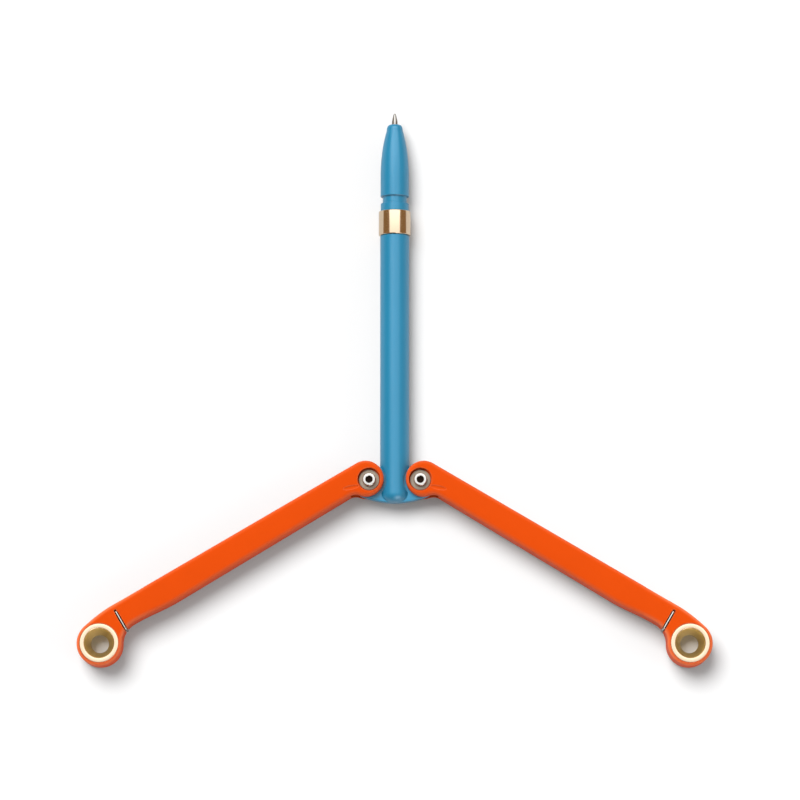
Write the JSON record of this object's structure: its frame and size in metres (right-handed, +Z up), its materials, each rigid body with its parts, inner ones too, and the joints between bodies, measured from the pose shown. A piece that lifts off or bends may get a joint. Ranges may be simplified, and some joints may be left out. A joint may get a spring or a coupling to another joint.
{
  "type": "butterfly fidget pen",
  "caption": "Pen with a brass band and a tang at its base, and handles that swing round it on screw pivots, each with a brass ring weight and a wire clip.",
  "frame": {"origin": "middle of the footprint, on the surface that the pen lies on", "axes": "+Y along the pen towards its writing tip, +X to the right handle, +Z up out of the front face"},
  "size_m": [0.2236, 0.1984, 0.0128],
  "materials": {
    "pen_blue": "satin, moulded",
    "handle_orange": "satin, moulded",
    "brass": "turned and polished",
    "steel": "bright, plain",
    "bronze": "plain bearing washer",
    "refill_plastic": "plain"
  },
  "bodies": {
    "pen": {"barrel": "pen_blue", "nose_cone": "pen_blue", "brass_band": "brass", "refill_tube": "refill_plastic", "refill_tip": "steel", "refill_spring": "steel", "left_front_thrust_washer": "bronze", "left_rear_thrust_washer": "bronze", "right_front_thrust_washer": "bronze", "right_rear_thrust_washer": "bronze"},
    "left_handle_body": {"left_handle": "handle_orange", "left_ring_weight": "brass", "left_wire_clip": "steel", "left_pivot_screw": "steel", "left_pivot_nut": "steel", "left_front_washer": "steel", "left_rear_washer": "steel"},
    "right_handle_body": {"right_handle": "handle_orange", "right_ring_weight": "brass", "right_wire_clip": "steel", "right_pivot_screw": "steel", "right_pivot_nut": "steel", "right_front_washer": "steel", "right_rear_washer": "steel"}
  },
  "joints": [
    {"name": "left_handle_swing", "type": "hinge", "parent": "pen", "child": "left_handle_body", "pos_m": [-0.00906, -0.03342, 0.0064], "axis": [0, 0, 1], "range_deg": [-119.7, 59]},
    {"name": "right_handle_swing", "type": "hinge", "parent": "pen", "child": "right_handle_body", "pos_m": [0.00906, -0.03342, 0.0064], "axis": [0, 0, 1], "range_deg": [-59, 119.7]}
  ]
}
